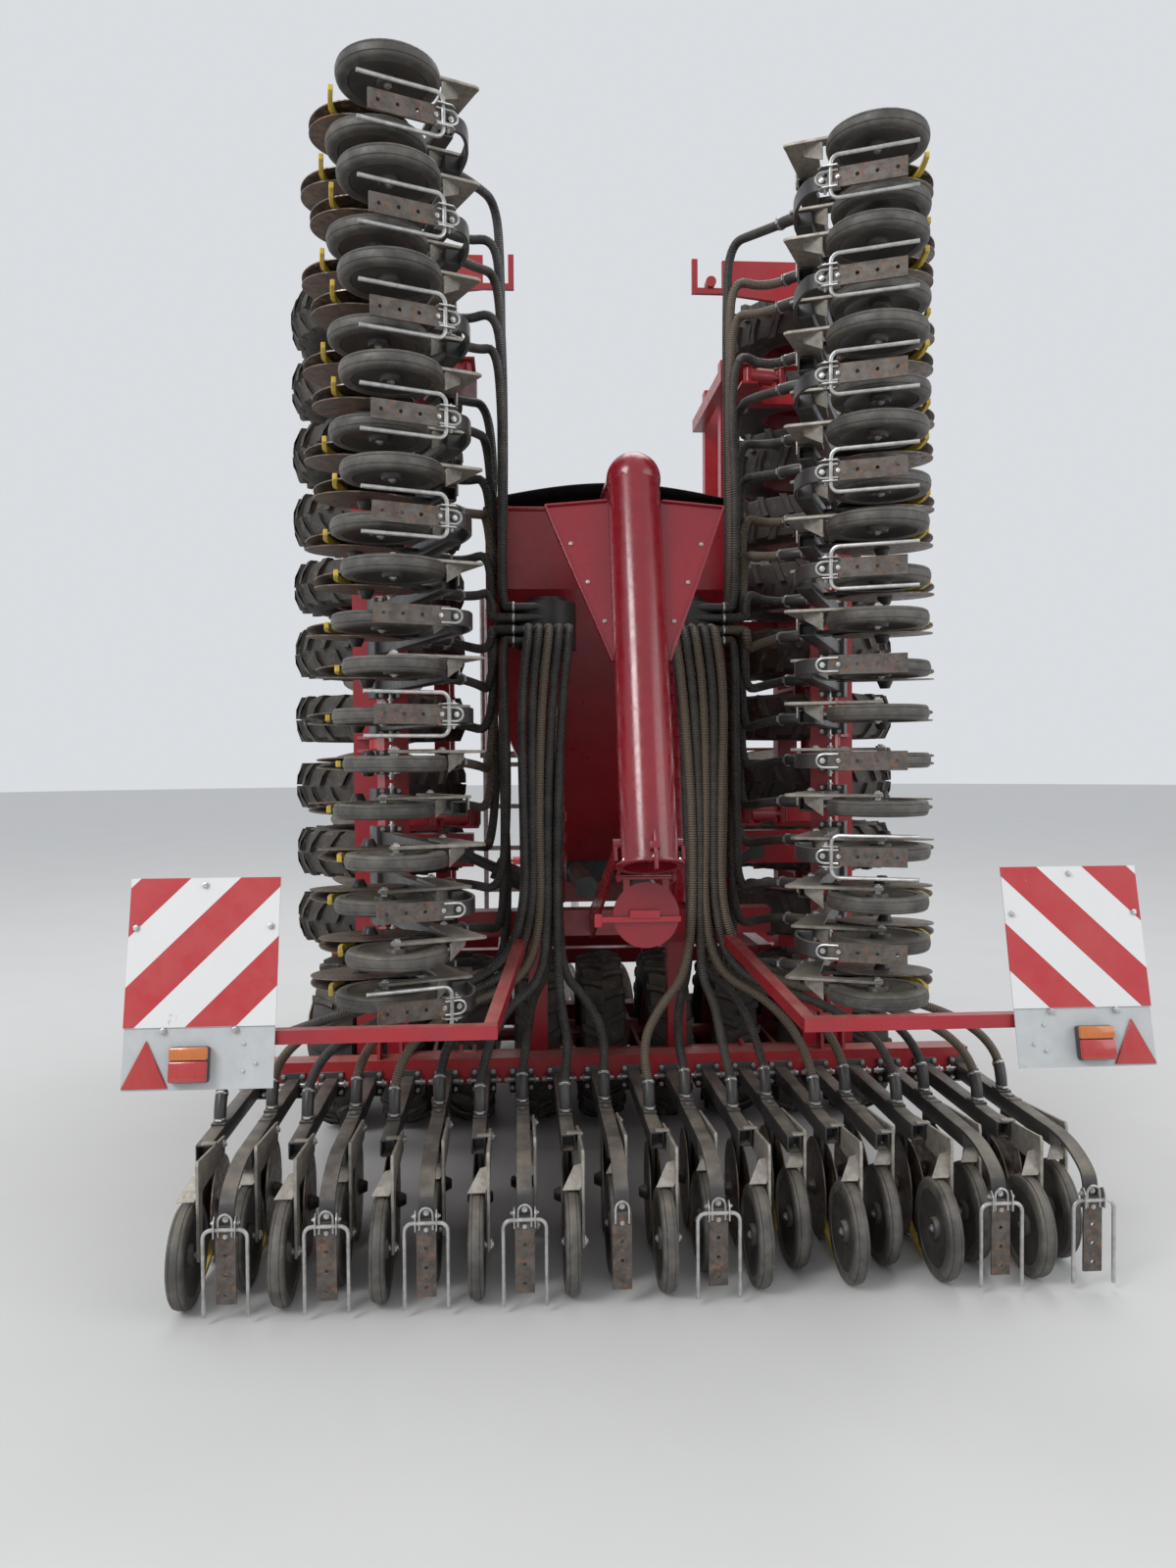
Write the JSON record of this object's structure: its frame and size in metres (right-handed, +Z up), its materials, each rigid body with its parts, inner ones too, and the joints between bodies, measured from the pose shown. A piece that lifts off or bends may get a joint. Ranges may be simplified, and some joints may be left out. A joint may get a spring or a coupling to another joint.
{
  "type": "folded seed drill",
  "caption": "Trailed folding disc seed drill with wings upright, seed hopper, filling auger, tyre packer, coulter rows with press wheels and harrow tines.",
  "frame": {"origin": "middle of the footprint box on the ground, under the drill", "axes": "+Y is the direction of travel towards the hitch, +X is right seen from behind, +Z is up"},
  "size_m": [3, 8.5284, 3.866],
  "materials": {
    "red_paint": "gloss red machine paint, dusty and worn at the edges",
    "black_paint": "black paint under pale field dust",
    "tyre_rubber": "farm tyre rubber with dried soil",
    "press_rubber": "grey rubber tread polished by soil",
    "hose_rubber": "ribbed black hose, dusty",
    "worn_steel": "ground tools of bare steel with light rust",
    "zinc": "zinc plated steel",
    "cover_fabric": "dark roll cover",
    "black_plastic": "moulded black plastic",
    "board_white": "reflective sheet with red and white stripes",
    "lamp_lens": "red and amber lenses"
  },
  "bodies": {
    "chassis": {"main_frame": "red_paint", "cultivator_frame_centre": "red_paint", "cultivator_discs_centre": "worn_steel", "drawbar": "red_paint", "hopper": "red_paint", "hopper_cover": "cover_fabric", "metering_unit": "black_plastic", "fan": "black_paint", "seed_risers": "red_paint", "distributor_heads": "black_plastic", "auger_tube": "red_paint", "auger_chute": "red_paint", "board_arms": "red_paint", "marker_boards": "board_white", "lamps": "lamp_lens", "platform": "zinc", "fold_cylinders": "black_paint", "depth_cylinders_centre": "red_paint", "hoses_centre": "hose_rubber"},
    "hitch": {"hitch_head": "red_paint"},
    "jack": {"parking_jack": "zinc"},
    "lid": {"auger_lid": "red_paint"},
    "packer_roll_centre": {"packer_axle_centre": "red_paint", "packer_tyres_centre": "tyre_rubber"},
    "seeder_centre": {"seed_bar_centre": "red_paint", "coulters_centre": "black_paint", "openers_centre": "worn_steel", "harrow_centre": "zinc"},
    "wheels_rear_centre": {"press_rear_centre": "press_rubber"},
    "wheels_front_centre": {"press_front_centre": "press_rubber"},
    "wing_left": {"wing_frame_left": "red_paint", "cultivator_frame_left": "red_paint", "cultivator_discs_left": "worn_steel", "depth_cylinders_left": "red_paint", "hoses_left": "hose_rubber"},
    "packer_roll_left": {"packer_axle_left": "red_paint", "packer_tyres_left": "tyre_rubber"},
    "seeder_left": {"seed_bar_left": "red_paint", "coulters_left": "black_paint", "openers_left": "worn_steel", "harrow_left": "zinc"},
    "wheels_rear_left": {"press_rear_left": "press_rubber"},
    "wheels_front_left": {"press_front_left": "press_rubber"},
    "wing_right": {"wing_frame_right": "red_paint", "cultivator_frame_right": "red_paint", "cultivator_discs_right": "worn_steel", "depth_cylinders_right": "red_paint", "hoses_right": "hose_rubber"},
    "packer_roll_right": {"packer_axle_right": "red_paint", "packer_tyres_right": "tyre_rubber"},
    "seeder_right": {"seed_bar_right": "red_paint", "coulters_right": "black_paint", "openers_right": "worn_steel", "harrow_right": "zinc"},
    "wheels_rear_right": {"press_rear_right": "press_rubber"},
    "wheels_front_right": {"press_front_right": "press_rubber"}
  },
  "joints": [
    {"name": "hitch_swivel", "type": "hinge", "parent": "chassis", "child": "hitch", "pos_m": [0, 3.9222, 0.62], "axis": [0, 0, 1], "range_deg": [-55, 55]},
    {"name": "jack_swing", "type": "hinge", "parent": "chassis", "child": "jack", "pos_m": [0.19, 3.4222, 0.7], "axis": [-1, 0, 0], "range_deg": [0, 90]},
    {"name": "lid_swing", "type": "hinge", "parent": "chassis", "child": "lid", "pos_m": [0, -4.0428, 1.338], "axis": [-1, 0, 0], "range_deg": [0, 104]},
    {"name": "packer_turn_centre", "type": "hinge", "parent": "chassis", "child": "packer_roll_centre", "pos_m": [0, -2.1278, 0.39], "axis": [1, 0, 0], "continuous": true},
    {"name": "lift_centre", "type": "hinge", "parent": "chassis", "child": "seeder_centre", "pos_m": [0, -2.7178, 0.44], "axis": [-1, 0, 0], "range_deg": [0, 23], "deforming": ["hoses_centre"]},
    {"name": "press_turn_rear_centre", "type": "hinge", "parent": "seeder_centre", "child": "wheels_rear_centre", "pos_m": [0, -3.8778, 0.16], "axis": [1, 0, 0], "continuous": true},
    {"name": "press_turn_front_centre", "type": "hinge", "parent": "seeder_centre", "child": "wheels_front_centre", "pos_m": [0, -3.7478, 0.16], "axis": [1, 0, 0], "continuous": true},
    {"name": "fold_left", "type": "hinge", "parent": "chassis", "child": "wing_left", "pos_m": [-1.019, -2.5978, 0.381], "axis": [0, -1, 0], "range_deg": [0, 90], "deforming": ["hoses_left"]},
    {"name": "packer_turn_left", "type": "hinge", "parent": "wing_left", "child": "packer_roll_left", "pos_m": [-1.01, -2.1278, 2], "axis": [0, 0, 1], "continuous": true},
    {"name": "lift_left", "type": "hinge", "parent": "wing_left", "child": "seeder_left", "pos_m": [-0.96, -2.7178, 2], "axis": [0, 0, -1], "range_deg": [0, 23]},
    {"name": "press_turn_rear_left", "type": "hinge", "parent": "seeder_left", "child": "wheels_rear_left", "pos_m": [-0.76449, -3.89499, 2], "axis": [0, 0, 1], "continuous": true},
    {"name": "press_turn_front_left", "type": "hinge", "parent": "seeder_left", "child": "wheels_front_left", "pos_m": [-0.81529, -3.77533, 2], "axis": [0, 0, 1], "continuous": true},
    {"name": "fold_right", "type": "hinge", "parent": "chassis", "child": "wing_right", "pos_m": [1.019, -2.5978, 0.381], "axis": [0, 1, 0], "range_deg": [0, 90], "deforming": ["hoses_right"]},
    {"name": "packer_turn_right", "type": "hinge", "parent": "wing_right", "child": "packer_roll_right", "pos_m": [1.01, -2.1278, 2], "axis": [0, 0, 1], "continuous": true},
    {"name": "lift_right", "type": "hinge", "parent": "wing_right", "child": "seeder_right", "pos_m": [0.96, -2.7178, 2], "axis": [0, 0, 1], "range_deg": [0, 23]},
    {"name": "press_turn_rear_right", "type": "hinge", "parent": "seeder_right", "child": "wheels_rear_right", "pos_m": [0.76449, -3.89499, 2], "axis": [0, 0, 1], "continuous": true},
    {"name": "press_turn_front_right", "type": "hinge", "parent": "seeder_right", "child": "wheels_front_right", "pos_m": [0.81529, -3.77533, 2], "axis": [0, 0, 1], "continuous": true}
  ]
}
